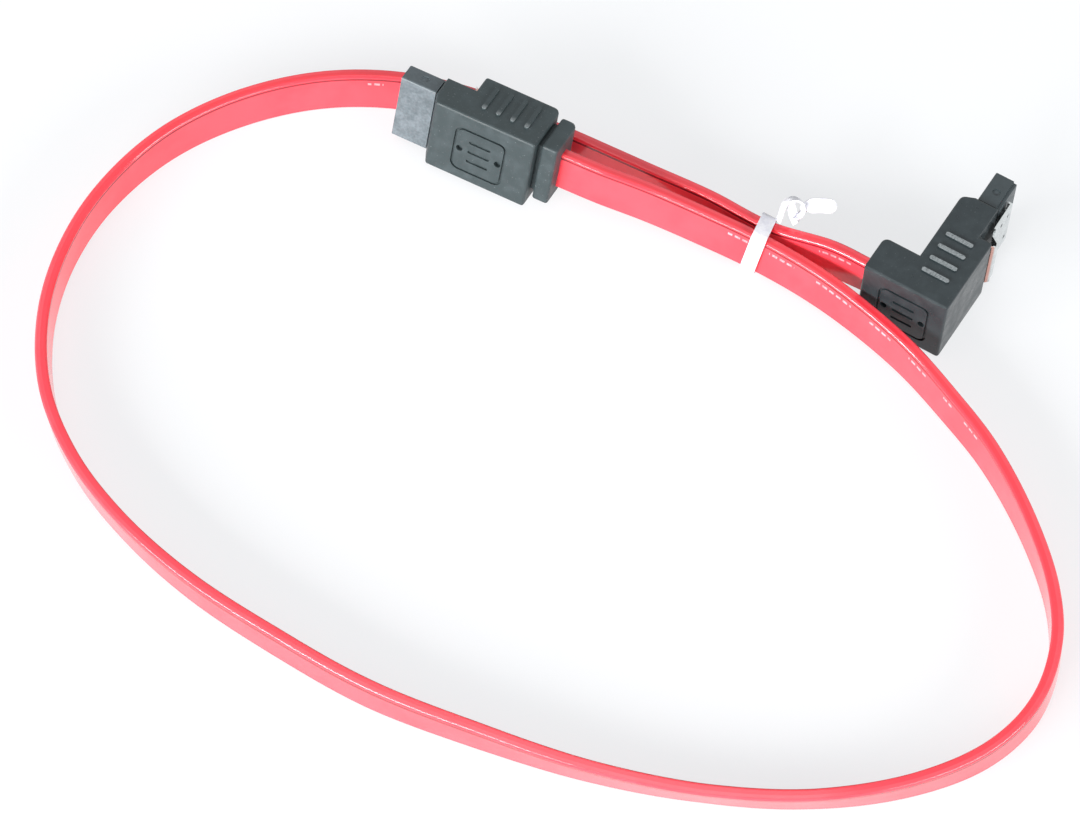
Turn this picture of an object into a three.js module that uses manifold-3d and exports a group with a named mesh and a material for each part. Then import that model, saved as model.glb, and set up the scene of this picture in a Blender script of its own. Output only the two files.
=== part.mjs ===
// A flat serial data cable with two seven-contact receptacles, one straight and one right-angled.
// Millimetres, +Z up. The cable stands on its narrow edge on the table and makes one loop.
// Both plugs lie on a narrow side. A plastic tie holds the two ends of the ribbon together.

import * as THREE from 'three';
import { mergeVertices } from 'three/addons/utils/BufferGeometryUtils.js';
import Module from 'manifold-3d';

// Width of a plug: across the contacts, which is upwards as the plugs lie
const PLUG_WIDTH = 15.0;
const PLUG_MIDDLE = PLUG_WIDTH / 2;
const CLEARANCE = 0.3;

// Receptacle nose, the same on both plugs
const NOSE_LENGTH = 6.7;
const NOSE_WIDTH = 13.9;
const NOSE_THICKNESS = 4.2;
const NOSE_CORNER = 0.4;
const FLAT_SETBACK = 2.6;
const COLLAR_LENGTH = 1.0;
const TAIL_BLOCK_LENGTH = 5.0;
const TAIL_BLOCK_STEP = 0.5;
const DIMPLE_SETBACK = 3.7;
const DIMPLE_RADIUS = 0.75;
const DIMPLE_DEPTH = 0.25;
const RAIL_WIDTH = 0.6;
const RAIL_DROP = 0.5;

// L-shaped slot and its contacts
const SLOT_DEPTH = 6.0;
const SLOT_THICKNESS = 1.4;
const SLOT_WIDTH = 10.7;
const SLOT_WALL = 0.9;
const SLOT_SHIFT = -0.25;
const SLOT_TO_CONTACTS = 0.4;
const KEY_WIDTH = 1.2;
const KEY_DEPTH = 1.1;
const CONTACT_COUNT = 7;
const CONTACT_PITCH = 1.27;
const CONTACT_WIDTH = 0.6;
const CONTACT_THICKNESS = 0.3;
const CONTACT_TAIL = 3.6;
const CONTACT_SETBACK = 1.9;
const CHANNEL_WIDTH = 1.0;

// Latch spring, the same on both plugs but for the place of its thumb pad
const LATCH_SHEET = 0.35;
const LATCH_WIDTH = 10.6;
const LATCH_TAB_WIDTH = 6.0;
const LATCH_TAB_DEPTH = 0.4;
const LATCH_TAB_SETBACK = 3.3;
const LATCH_STANDOFF = 0.9;
const LATCH_RISE = 0.1;
const LATCH_CLIMB = 1.4;
const LATCH_EASE = 0.5;
const LATCH_HOLE_RADIUS = 0.4;
const LATCH_HOLE_SETBACK = 1.1;
const LATCH_HOLE_PITCH = 2.5;
const LATCH_HOLE_SPREAD = 6.4;
const PAD_WIDTH = 8.4;
const PAD_HEIGHT = 2.85;
const PAD_LENGTH = 1.8;
const PAD_LIP = 1.0;

// Overmoulds
const EDGE_ROUND = 0.35;
const CORNER_ROUND = 1.2;
const CORNER_EASE = 0.5;
const RIB_COUNT = 4;
const RIB_WIDTH = 0.8;
const RIB_HEIGHT = 0.35;
const RIB_END_RADIUS = 0.36;
const PANEL_LINE = 0.5;
const PANEL_DEPTH = 0.35;
const PANEL_CORNER = 1.6;
const PANEL_WIDTH = 10.0;
const PANEL_HEIGHT = 10.0;
const PANEL_FOOT = 2.0;
const PIN_RADIUS = 0.65;
const PIN_DEPTH = 0.8;
const PIN_SPACING = 7.4;
const BAR_COUNT = 3;
const BAR_LENGTH = 4.2;
const BAR_WIDTH = 0.6;
const BAR_PITCH = 2.2;
const BAR_END_RADIUS = 0.27;

// Straight plug
const STRAIGHT = {
  blockDepth: 10.8,
  recess: 4.6,
  bodyLength: 19.2,
  ribStart: 7.64,
  ribPitch: 2.77,
  ribFrom: 3.0,
  ribTo: 9.1,
  panelStart: 4.4,
  neckLength: 0.8,
  neckInset: 1.1,
  bootLength: 3.0,
  bootWidth: 12.8,
  bootLift: 0.5,
  bootFrom: 1.3,
  bootTo: 9.8,
};

// Right-angled plug
const ANGLED = {
  blockDepth: 9.4,
  recess: 5.9,
  bodyLength: 22.3,
  ribStart: 8.6,
  ribPitch: 2.9,
  ribFrom: 1.65,
  ribTo: 6.95,
  armReach: 7.0,
  armWidth: 7.4,
  panelInset: 3.5,
};

// Ribbon cable and the wires in the plugs
const RIBBON_WIDTH = 7.8;
const RIBBON_THICKNESS = 2.1;
const RIBBON_BEVEL = 0.55;
const RIBBON_STEPS = 76;
const SIGNAL_RADIUS = 0.42;
const DRAIN_RADIUS = 0.25;
const WIRE_STEPS = 12;
const WIRE_BEND = 3.0;
const TUNNEL_HALF = 1.0;
const TUNNEL_HALF_WIDTH = CONTACT_PITCH * (CONTACT_COUNT - 1) / 2 + SIGNAL_RADIUS + CLEARANCE;
const WIRE_CLOSING = 0.8;
const CABLE_PORT_HALF = RIBBON_THICKNESS / 2 - CLEARANCE;
const CABLE_PORT_HALF_WIDTH = RIBBON_WIDTH / 2 - CLEARANCE;

// Tie
const TIE_WIDTH = 2.5;
const TIE_THICKNESS = 0.4;
const TIE_TWIST_THICKNESS = 0.9;
const TIE_RIBBON_PITCH = 3.3;
const TIE_HEADROOM = 0.45;
const TIE_CORNER = 1.2;
const TIE_CUT = 0.1;

// Places on the table
const STRAIGHT_AT = [-48.36, 7.80];
const STRAIGHT_YAW = -21.4;
const STRAIGHT_LEAN = 11.3;
const ANGLED_AT = [29.04, -12.81];
const ANGLED_YAW = -25.6;
const TIE_AT = [11.85, -4.0, 5.2];
const TIE_YAW = -24.5;
const TIE_LEAN = 10;

// Where the contacts and wires lie across a plug's thickness
const CONTACT_PLANE = FLAT_SETBACK + SLOT_WALL + SLOT_THICKNESS + SLOT_TO_CONTACTS;
const NOSE_FAR = FLAT_SETBACK + NOSE_THICKNESS;
const NOSE_END = -COLLAR_LENGTH - CLEARANCE;
const NOSE_TIP = NOSE_END - NOSE_LENGTH;
const TAIL_END = NOSE_END + TAIL_BLOCK_LENGTH;
const WIRE_START = TAIL_END + CONTACT_TAIL + CLEARANCE;

const wasm = await Module();
wasm.setup();

const blackResin = new THREE.MeshStandardMaterial({ color: 0x6e767b, roughness: 0.55, metalness: 0.0 });
const blackVinyl = new THREE.MeshStandardMaterial({ color: 0x454d50, roughness: 0.6, metalness: 0.0 });
const redVinyl = new THREE.MeshStandardMaterial({ color: 0xf2525f, roughness: 0.35, metalness: 0.0 });
const whiteVinyl = new THREE.MeshStandardMaterial({ color: 0xf4f4f6, roughness: 0.3, metalness: 0.0 });
const springSteel = new THREE.MeshStandardMaterial({ color: 0xc9cdd0, roughness: 0.25, metalness: 1.0 });
const goldPlate = new THREE.MeshStandardMaterial({ color: 0xd9b25a, roughness: 0.3, metalness: 1.0 });
const tinnedCopper = new THREE.MeshStandardMaterial({ color: 0xb9bcc0, roughness: 0.4, metalness: 1.0 });
const wireSkin = new THREE.MeshStandardMaterial({ color: 0xe8e4da, roughness: 0.5, metalness: 0.0 });

// Solid maths

function toSolid(geometry) {
  const bare = geometry.clone();
  bare.deleteAttribute('normal');
  bare.deleteAttribute('uv');
  const merged = mergeVertices(bare, 1e-4);
  const corners = merged.index.array;
  const triangles = [];
  for (let i = 0; i < corners.length; i += 3) {
    const [a, b, c] = corners.slice(i, i + 3);
    if (a !== b && b !== c && c !== a) triangles.push(a, b, c);
  }
  return new wasm.Manifold(new wasm.Mesh({
    numProp: 3,
    vertProperties: new Float32Array(merged.attributes.position.array),
    triVerts: new Uint32Array(triangles),
  }));
}

function toGeometry(solid) {
  const mesh = solid.getMesh();
  const geometry = new THREE.BufferGeometry();
  geometry.setAttribute('position', new THREE.BufferAttribute(new Float32Array(mesh.vertProperties), 3));
  geometry.setIndex(new THREE.BufferAttribute(new Uint32Array(mesh.triVerts), 1));
  return geometry;
}

// A box from its lowest to its highest corner
function block(x0, x1, y0, y1, z0, z1) {
  const geometry = new THREE.BoxGeometry(x1 - x0, y1 - y0, z1 - z0);
  geometry.translate((x0 + x1) / 2, (y0 + y1) / 2, (z0 + z1) / 2);
  return toSolid(geometry);
}

// An outline of [x, y, corner radius] points, with its round corners as arcs
function roundedShape(points, arcSteps = 4) {
  const outline = [];
  points.forEach(([x, y, radius = 0], i) => {
    const here = new THREE.Vector2(x, y);
    if (radius === 0) {
      outline.push(here);
      return;
    }
    const before = new THREE.Vector2(...points.at(i - 1)).sub(here).normalize();
    const after = new THREE.Vector2(...points[(i + 1) % points.length]).sub(here).normalize();
    const half = Math.acos(before.dot(after)) / 2;
    const setback = radius / Math.tan(half);
    const start = here.clone().addScaledVector(before, setback);
    const end = here.clone().addScaledVector(after, setback);
    const middle = here.clone().addScaledVector(before.clone().add(after).normalize(), radius / Math.sin(half));
    const from = Math.atan2(start.y - middle.y, start.x - middle.x);
    const to = Math.atan2(end.y - middle.y, end.x - middle.x);
    const sweep = Math.atan2(Math.sin(to - from), Math.cos(to - from));
    for (let k = 0; k <= arcSteps; k += 1) {
      const angle = from + sweep * k / arcSteps;
      outline.push(new THREE.Vector2(middle.x + radius * Math.cos(angle), middle.y + radius * Math.sin(angle)));
    }
  });
  return new THREE.Shape(outline);
}

function rectangle(x0, x1, y0, y1, radius) {
  return roundedShape([[x0, y0, radius], [x1, y0, radius], [x1, y1, radius], [x0, y1, radius]]);
}

// A plan outline raised from z0 to z1, with its upper and lower edges rounded by edge
function raised(shape, z0, z1, edge = 0) {
  const geometry = new THREE.ExtrudeGeometry(shape, {
    depth: z1 - z0 - 2 * edge,
    bevelEnabled: edge > 0,
    bevelThickness: edge,
    bevelSize: edge,
    bevelOffset: -edge,
    bevelSegments: 2,
    curveSegments: 6,
  });
  geometry.translate(0, 0, z0 + edge);
  return toSolid(geometry);
}

// A section in the plane across X, given as (y, z), drawn from x0 to x1
function alongX(shape, x0, x1) {
  const geometry = new THREE.ExtrudeGeometry(shape, { depth: x1 - x0, bevelEnabled: false, curveSegments: 6 });
  geometry.rotateY(Math.PI / 2);
  geometry.rotateX(Math.PI / 2);
  geometry.translate(x0, 0, 0);
  return toSolid(geometry);
}

// A strip of sheet that follows [x, y] points, thickness across, from z0 to z1
function sheetStrip(points, thickness, z0, z1) {
  const line = points.map(([x, y]) => new THREE.Vector2(x, y));
  const left = [];
  const right = [];
  line.forEach((here, i) => {
    const before = line[Math.max(i - 1, 0)];
    const after = line[Math.min(i + 1, line.length - 1)];
    const inward = i > 0 ? here.clone().sub(before).normalize() : after.clone().sub(here).normalize();
    const outward = i < line.length - 1 ? after.clone().sub(here).normalize() : inward;
    const across = new THREE.Vector2(-(inward.y + outward.y), inward.x + outward.x).normalize();
    const reach = thickness / 2 / Math.max(across.dot(new THREE.Vector2(-inward.y, inward.x)), 0.5);
    left.push(here.clone().addScaledVector(across, reach));
    right.unshift(here.clone().addScaledVector(across, -reach));
  });
  return raised(new THREE.Shape([...left, ...right]), z0, z1);
}

function meshOf(name, solid, material) {
  const mesh = new THREE.Mesh(toGeometry(solid), material);
  mesh.name = name;
  return mesh;
}

// Places of the contacts across the plug's width
function contactPlaces() {
  const first = PLUG_MIDDLE - CONTACT_PITCH * (CONTACT_COUNT - 1) / 2;
  return Array.from({ length: CONTACT_COUNT }, (_, i) => first + i * CONTACT_PITCH);
}

// Receptacle: the nose points to -X, its flat side is low in Y and its latch side is high in Y

function receptacleBody(latchPocket) {
  const z0 = PLUG_MIDDLE - NOSE_WIDTH / 2;
  const z1 = PLUG_MIDDLE + NOSE_WIDTH / 2;
  const nose = alongX(rectangle(FLAT_SETBACK, NOSE_FAR, z0, z1, NOSE_CORNER), NOSE_TIP, NOSE_END);
  const tail = block(
    NOSE_END - CLEARANCE, TAIL_END,
    FLAT_SETBACK + TAIL_BLOCK_STEP, NOSE_FAR - TAIL_BLOCK_STEP,
    z0 + 2 * TAIL_BLOCK_STEP, z1 - 2 * TAIL_BLOCK_STEP,
  );
  const slotFrom = PLUG_MIDDLE + SLOT_SHIFT - SLOT_WIDTH / 2;
  const slotLow = FLAT_SETBACK + SLOT_WALL;
  const slotHigh = slotLow + SLOT_THICKNESS;
  const slotEnd = NOSE_TIP + SLOT_DEPTH;
  let body = nose.add(tail)
    .subtract(block(NOSE_TIP - 1, slotEnd, slotLow, slotHigh, slotFrom, slotFrom + SLOT_WIDTH))
    .subtract(block(NOSE_TIP - 1, slotEnd, slotLow, slotHigh + KEY_DEPTH, slotFrom, slotFrom + KEY_WIDTH))
    .subtract(latchPocket);
  const channelFrom = NOSE_TIP + CONTACT_SETBACK - CLEARANCE;
  const channelNear = CONTACT_PLANE - CONTACT_THICKNESS / 2 - CLEARANCE;
  const channelFar = CONTACT_PLANE + CONTACT_THICKNESS / 2 + CLEARANCE;
  for (const place of contactPlaces()) {
    const low = place - CHANNEL_WIDTH / 2;
    const high = place + CHANNEL_WIDTH / 2;
    body = body
      .subtract(block(channelFrom, slotEnd + CLEARANCE, slotHigh - CLEARANCE, channelFar, low, high))
      .subtract(block(slotEnd, TAIL_END + 1, channelNear, channelFar, low, high));
  }
  for (const side of [z0, z1]) {
    const dimple = new THREE.CylinderGeometry(DIMPLE_RADIUS, DIMPLE_RADIUS, 2 * DIMPLE_DEPTH, 12);
    dimple.rotateX(Math.PI / 2);
    dimple.translate(NOSE_TIP + DIMPLE_SETBACK, FLAT_SETBACK + NOSE_THICKNESS / 2, side);
    body = body.subtract(toSolid(dimple));
  }
  const railFoot = NOSE_FAR - RAIL_WIDTH;
  return body
    .subtract(block(NOSE_TIP - 1, NOSE_END, railFoot, NOSE_FAR + 1, z0 - 1, z0 + RAIL_DROP))
    .subtract(block(NOSE_TIP - 1, NOSE_END, railFoot, NOSE_FAR + 1, z1 - RAIL_DROP, z1 + 1));
}

function contact(place) {
  const tip = NOSE_TIP + CONTACT_SETBACK;
  const bump = SLOT_THICKNESS / 2;
  return sheetStrip([
    [tip, CONTACT_PLANE],
    [tip + 0.8, CONTACT_PLANE - bump],
    [tip + 1.4, CONTACT_PLANE - bump - 0.1],
    [tip + 2.2, CONTACT_PLANE - bump / 2],
    [tip + 3.6, CONTACT_PLANE],
    [TAIL_END + CONTACT_TAIL, CONTACT_PLANE],
  ], CONTACT_THICKNESS, place - CONTACT_WIDTH / 2, place + CONTACT_WIDTH / 2);
}

// The latch hooks into the nose, runs back clear of it, climbs to the thumb pad and ends in a lip
function latchLine(plug) {
  const anchor = NOSE_TIP + LATCH_TAB_SETBACK;
  const leaf = NOSE_FAR + LATCH_STANDOFF;
  const pad = NOSE_FAR + PAD_HEIGHT;
  const padEnd = plug.recess - CLEARANCE - LATCH_SHEET;
  const padStart = padEnd - PAD_LENGTH;
  const climbStart = padStart - LATCH_CLIMB;
  return [
    [anchor, NOSE_FAR - LATCH_TAB_DEPTH],
    [anchor, leaf],
    [climbStart - LATCH_EASE, leaf + LATCH_RISE],
    [climbStart + LATCH_EASE / 2, leaf + LATCH_RISE + LATCH_EASE / 2],
    [padStart - LATCH_EASE / 2, pad - LATCH_EASE / 2],
    [padStart + LATCH_EASE, pad],
    [padEnd - LATCH_EASE, pad],
    [padEnd, pad - LATCH_EASE],
    [padEnd, pad - PAD_LIP],
  ];
}

// The pad is narrower than the leaf and the lip
function latchSpring(plug) {
  const line = latchLine(plug);
  const anchor = line[0][0];
  const leafEnd = line[2][0];
  const lipStart = line.at(-1)[0] - LATCH_EASE;
  const far = plug.blockDepth + 5;
  let latch = sheetStrip(line, LATCH_SHEET, PLUG_MIDDLE - LATCH_WIDTH / 2, PLUG_MIDDLE + LATCH_WIDTH / 2);
  for (const side of [-1, 1]) {
    const outer = PLUG_MIDDLE + side * LATCH_WIDTH;
    const inner = PLUG_MIDDLE + side * PAD_WIDTH / 2;
    latch = latch.subtract(block(leafEnd, lipStart, 0, far, Math.min(inner, outer), Math.max(inner, outer)));
    const tab = PLUG_MIDDLE + side * LATCH_TAB_WIDTH / 2;
    latch = latch.subtract(block(
      anchor - 1, anchor + 1, 0, NOSE_FAR + LATCH_STANDOFF / 4, Math.min(tab, outer), Math.max(tab, outer),
    ));
    const holePlace = PLUG_MIDDLE + side * LATCH_HOLE_SPREAD / 2;
    for (const along of [0, LATCH_HOLE_PITCH]) {
      const hole = new THREE.CylinderGeometry(LATCH_HOLE_RADIUS, LATCH_HOLE_RADIUS, LATCH_STANDOFF, 10);
      hole.translate(anchor + LATCH_HOLE_SETBACK + along, NOSE_FAR + LATCH_STANDOFF, holePlace);
      latch = latch.subtract(toSolid(hole));
    }
  }
  return latch;
}

function latchPocket() {
  const anchor = NOSE_TIP + LATCH_TAB_SETBACK;
  const half = LATCH_SHEET / 2 + CLEARANCE;
  return block(
    anchor - half, anchor + half, NOSE_FAR - LATCH_TAB_DEPTH - CLEARANCE, NOSE_FAR + 1,
    PLUG_MIDDLE - LATCH_TAB_WIDTH / 2 - CLEARANCE, PLUG_MIDDLE + LATCH_TAB_WIDTH / 2 + CLEARANCE,
  );
}

// Pocket for the receptacle's tail block, and the tunnel for contact tails and wires
function tailPocket() {
  const z0 = PLUG_MIDDLE - NOSE_WIDTH / 2 + 2 * TAIL_BLOCK_STEP - CLEARANCE;
  const z1 = PLUG_MIDDLE + NOSE_WIDTH / 2 - 2 * TAIL_BLOCK_STEP + CLEARANCE;
  const end = -COLLAR_LENGTH + TAIL_BLOCK_LENGTH;
  const y0 = FLAT_SETBACK + TAIL_BLOCK_STEP - CLEARANCE;
  const y1 = NOSE_FAR - TAIL_BLOCK_STEP + CLEARANCE;
  return block(-COLLAR_LENGTH - 1, end, y0, y1, z0, z1);
}

function withRibs(body, plug, bodyLength) {
  let ribbed = body;
  for (let i = 0; i < RIB_COUNT; i += 1) {
    const x = Math.min(plug.ribStart + i * plug.ribPitch, bodyLength - RIB_WIDTH);
    const outline = rectangle(x - RIB_WIDTH / 2, x + RIB_WIDTH / 2, plug.ribFrom, plug.ribTo, RIB_END_RADIUS);
    ribbed = ribbed.add(raised(outline, PLUG_WIDTH - 1, PLUG_WIDTH + RIB_HEIGHT, 0));
  }
  return ribbed;
}

// A plain sunk frame with two pin marks and three bars, drawn in (x, z) and sunk in -Y from y = 0
function panelMarks(x0) {
  const x1 = x0 + PANEL_WIDTH;
  const z0 = PANEL_FOOT;
  const z1 = z0 + PANEL_HEIGHT;
  const line = PANEL_LINE;
  let marks = panelPlate(x0, x1, z0, z1, PANEL_CORNER, 0)
    .subtract(panelPlate(x0 + line, x1 - line, z0 + line, z1 - line, PANEL_CORNER - line, 1));
  const middle = (x0 + x1) / 2;
  const centre = (z0 + z1) / 2;
  for (const side of [-1, 1]) {
    const pin = new THREE.CylinderGeometry(PIN_RADIUS, PIN_RADIUS, PIN_DEPTH + 1, 12);
    pin.translate(middle + side * PIN_SPACING / 2, (PIN_DEPTH - 1) / 2, centre);
    marks = marks.add(toSolid(pin));
  }
  for (let i = 0; i < BAR_COUNT; i += 1) {
    const z = centre + (i - (BAR_COUNT - 1) / 2) * BAR_PITCH;
    marks = marks.add(panelPlate(
      middle - BAR_LENGTH / 2, middle + BAR_LENGTH / 2, z - BAR_WIDTH / 2, z + BAR_WIDTH / 2, BAR_END_RADIUS, 0,
    ));
  }
  return marks;
}

// A plate in (x, z), from 1 mm in front of y = 0 to the marks' depth; extra makes it thicker both ways
function panelPlate(x0, x1, z0, z1, radius, extra) {
  const geometry = new THREE.ExtrudeGeometry(rectangle(x0, x1, z0, z1, radius), {
    depth: PANEL_DEPTH + 1 + 2 * extra, bevelEnabled: false, curveSegments: 6,
  });
  geometry.rotateX(Math.PI / 2);
  geometry.translate(0, PANEL_DEPTH + extra, 0);
  return toSolid(geometry);
}

function straightOvermould() {
  const plug = STRAIGHT;
  const front = -COLLAR_LENGTH;
  const rear = plug.bodyLength;
  const outline = roundedShape([
    [0, 0, CORNER_EASE], [rear, 0, CORNER_EASE], [rear, plug.blockDepth, CORNER_ROUND],
    [plug.recess, plug.blockDepth, CORNER_EASE], [plug.recess, NOSE_FAR, 0], [front, NOSE_FAR, 0],
    [front, FLAT_SETBACK - CLEARANCE, 0],
  ]);
  const body = withRibs(raised(outline, 0, PLUG_WIDTH, EDGE_ROUND), plug, rear);
  const bootStart = rear + plug.neckLength;
  const bootEnd = bootStart + plug.bootLength;
  const low = PLUG_MIDDLE + plug.bootLift - plug.bootWidth / 2;
  const high = PLUG_MIDDLE + plug.bootLift + plug.bootWidth / 2;
  const neck = block(
    rear - 1, bootStart + 1, plug.bootFrom + plug.neckInset, plug.bootTo - plug.neckInset,
    low + plug.neckInset, high - plug.neckInset,
  );
  const boot = raised(roundedShape([
    [bootStart, plug.bootFrom, CORNER_EASE], [bootEnd, plug.bootFrom, CORNER_EASE],
    [bootEnd, plug.bootTo, CORNER_ROUND], [bootStart, plug.bootTo, CORNER_EASE],
  ]), low, high, EDGE_ROUND);
  const tunnel = block(
    0, rear, CONTACT_PLANE - TUNNEL_HALF, CONTACT_PLANE + TUNNEL_HALF,
    PLUG_MIDDLE - TUNNEL_HALF_WIDTH, PLUG_MIDDLE + TUNNEL_HALF_WIDTH,
  );
  const cablePort = block(
    rear - 1, bootEnd + 1, CONTACT_PLANE - CABLE_PORT_HALF, CONTACT_PLANE + CABLE_PORT_HALF,
    PLUG_MIDDLE - CABLE_PORT_HALF_WIDTH, PLUG_MIDDLE + CABLE_PORT_HALF_WIDTH,
  );
  return body.add(neck).add(boot)
    .subtract(tailPocket()).subtract(tunnel).subtract(cablePort)
    .subtract(panelMarks(plug.panelStart));
}

function angledOvermould() {
  const plug = ANGLED;
  const front = -COLLAR_LENGTH;
  const back = plug.bodyLength;
  const armFrom = back - plug.armWidth;
  const outline = roundedShape([
    [back, -plug.armReach, CORNER_EASE], [back, plug.blockDepth, CORNER_EASE],
    [plug.recess, plug.blockDepth, CORNER_EASE], [plug.recess, NOSE_FAR, 0],
    [front, NOSE_FAR, 0], [front, FLAT_SETBACK - CLEARANCE, 0], [0, 0, CORNER_ROUND],
    [armFrom, 0, 0], [armFrom, -plug.armReach, CORNER_ROUND],
  ]);
  const body = withRibs(raised(outline, 0, PLUG_WIDTH, EDGE_ROUND), plug, back);
  const cableAt = cableCentre(plug);
  const turnHalf = WIRE_BEND / 2;
  const tunnel = block(
    0, cableAt + turnHalf, CONTACT_PLANE - TUNNEL_HALF, CONTACT_PLANE + TUNNEL_HALF,
    PLUG_MIDDLE - TUNNEL_HALF_WIDTH, PLUG_MIDDLE + TUNNEL_HALF_WIDTH,
  );
  const turn = block(
    cableAt - turnHalf, cableAt + turnHalf, -1, CONTACT_PLANE,
    PLUG_MIDDLE - TUNNEL_HALF_WIDTH, PLUG_MIDDLE + TUNNEL_HALF_WIDTH,
  );
  const cablePort = block(
    cableAt - CABLE_PORT_HALF, cableAt + CABLE_PORT_HALF, -plug.armReach - 1, 0,
    PLUG_MIDDLE - CABLE_PORT_HALF_WIDTH, PLUG_MIDDLE + CABLE_PORT_HALF_WIDTH,
  );
  const turned = toGeometry(panelMarks(plug.panelInset));
  turned.rotateZ(Math.PI / 2);
  turned.translate(back, -plug.armReach, 0);
  return body.subtract(tailPocket()).subtract(tunnel).subtract(turn).subtract(cablePort)
    .subtract(toSolid(turned));
}

function cableCentre(plug) {
  return plug.bodyLength - plug.armWidth / 2;
}

// One wire: contacts 1, 4 and 7 are ground and take a bare drain wire, the others an insulated one
function wire(points, index) {
  const drain = index % 3 === 0;
  const radius = drain ? DRAIN_RADIUS : SIGNAL_RADIUS;
  const section = new THREE.Shape(
    Array.from({ length: 8 }, (_, k) => new THREE.Vector2(
      radius * Math.cos(k * Math.PI / 4), radius * Math.sin(k * Math.PI / 4),
    )),
  );
  const geometry = new THREE.ExtrudeGeometry(section, {
    extrudePath: new THREE.CatmullRomCurve3(points), steps: WIRE_STEPS, bevelEnabled: false,
  });
  return toSolid(geometry);
}

// The start of a wire's route, where the wires close in from the contacts' pitch to the cable's
function closingIn(place, near) {
  return [
    new THREE.Vector3(WIRE_START, CONTACT_PLANE, place),
    new THREE.Vector3(WIRE_START + WIRE_BEND / 2, CONTACT_PLANE, place),
    new THREE.Vector3(WIRE_START + 2 * WIRE_BEND, CONTACT_PLANE, near),
  ];
}

// Where a wire leaves through the cable's port, across the plug's width
function portPlace(place) {
  return PLUG_MIDDLE + (place - PLUG_MIDDLE) * WIRE_CLOSING;
}

function straightWire(place, index) {
  const end = STRAIGHT.bodyLength + STRAIGHT.neckLength + STRAIGHT.bootLength - CLEARANCE;
  const near = portPlace(place);
  return wire([
    ...closingIn(place, near),
    new THREE.Vector3(STRAIGHT.bodyLength - 1, CONTACT_PLANE, near),
    new THREE.Vector3(end, CONTACT_PLANE, near),
  ], index);
}

function angledWire(place, index) {
  const at = cableCentre(ANGLED);
  const near = portPlace(place);
  return wire([
    ...closingIn(place, near),
    new THREE.Vector3(at - WIRE_BEND, CONTACT_PLANE, near),
    new THREE.Vector3(at - WIRE_BEND / 4, CONTACT_PLANE - WIRE_BEND / 4, near),
    new THREE.Vector3(at, CONTACT_PLANE - WIRE_BEND, near),
    new THREE.Vector3(at, CLEARANCE - ANGLED.armReach, near),
  ], index);
}

// Ribbon: its points are chosen by hand as [x, y, z, lean outwards in degrees]
const ROUTE = [
  [-24.15, 5.48, 8.36, 11.3],
  [-18, 3.4, 8.1, 11],
  [-9, 1.6, 6.6, 11],
  [0, -1.2, 5.8, 10.5],
  [11.1, -5.5, 5.3, 10],
  [20.9, -10.6, 5.1, 9],
  [29, -16, 4.8, 7],
  [38.1, -23.4, 4.3, 5],
  [45.9, -31.8, 3.95, 3],
  [53.7, -41.8, 3.95, 1],
  [61.25, -56, 3.95, -2],
  [65.75, -69.3, 3.95, -4],
  [66.5, -79.8, 3.95, -4],
  [63.5, -90.9, 3.95, -1],
  [56.3, -100.1, 3.95, 5],
  [44.1, -107.45, 3.95, 12],
  [27.6, -112.2, 3.95, 18],
  [9.6, -113.3, 3.95, 20],
  [-9, -111.5, 3.95, 16],
  [-28.1, -107.05, 3.95, 10],
  [-46.6, -101.4, 3.95, 7],
  [-62.9, -93.5, 3.95, 7],
  [-78.4, -84.45, 3.95, 9],
  [-90.7, -74.5, 3.95, 11],
  [-100.1, -63.7, 3.95, 11],
  [-106.7, -51.05, 3.95, 9],
  [-109.3, -36.7, 3.95, 6],
  [-108, -22.5, 3.95, 4],
  [-103.1, -8.8, 3.95, 4],
  [-94, 4.25, 3.95, 7],
  [-82.25, 13.6, 3.95, 9],
  [-68.4, 19.65, 3.95, 9],
  [-54.2, 21.5, 3.95, 9],
  [-40, 19.4, 3.95, 9],
  [-25.4, 14, 3.95, 9],
  [-9.3, 7.6, 4.1, 9],
  [1.6, 2.9, 4.7, 9.5],
  [12.5, -2.5, 4.95, 10],
  [24, -6.45, 7.1, 4],
  [30.22, -9.3, 7.5, 0],
];

// A path whose rows are [x, y, z, turn]. At no turn the section's X points level to the left of
// the way along it and its Y points up. A turn tips the top of the section to the left.
class TurnedPath extends THREE.CatmullRomCurve3 {
  constructor(rows) {
    super(rows.map(([x, y, z]) => new THREE.Vector3(x, y, z)));
    this.turns = rows.map((row) => row[3]);
  }

  turnAt(u) {
    const t = this.getUtoTmapping(u) * (this.turns.length - 1);
    const i = Math.min(Math.floor(t), this.turns.length - 2);
    return THREE.MathUtils.degToRad(THREE.MathUtils.lerp(this.turns[i], this.turns[i + 1], t - i));
  }

  computeFrenetFrames(segments) {
    const tangents = [];
    const normals = [];
    const binormals = [];
    for (let i = 0; i <= segments; i += 1) {
      const tangent = this.getTangentAt(i / segments);
      const left = new THREE.Vector3(-tangent.y, tangent.x, 0).normalize();
      const up = new THREE.Vector3().crossVectors(tangent, left);
      const turn = this.turnAt(i / segments);
      tangents.push(tangent);
      normals.push(left.clone().multiplyScalar(Math.cos(turn)).addScaledVector(up, -Math.sin(turn)));
      binormals.push(up.clone().multiplyScalar(Math.cos(turn)).addScaledVector(left, Math.sin(turn)));
    }
    return { tangents, normals, binormals };
  }
}

// A flat section, thickness by width with its corners cut, drawn along a turned path
function flatStrip(rows, thickness, width, cut, steps) {
  const x = thickness / 2;
  const y = width / 2;
  const section = new THREE.Shape([
    [x, -y + cut], [x, y - cut], [x - cut, y], [-x + cut, y],
    [-x, y - cut], [-x, -y + cut], [-x + cut, -y], [x - cut, -y],
  ].map(([a, b]) => new THREE.Vector2(a, b)));
  return toSolid(new THREE.ExtrudeGeometry(section, {
    extrudePath: new TurnedPath(rows), steps, bevelEnabled: false,
  }));
}

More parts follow.
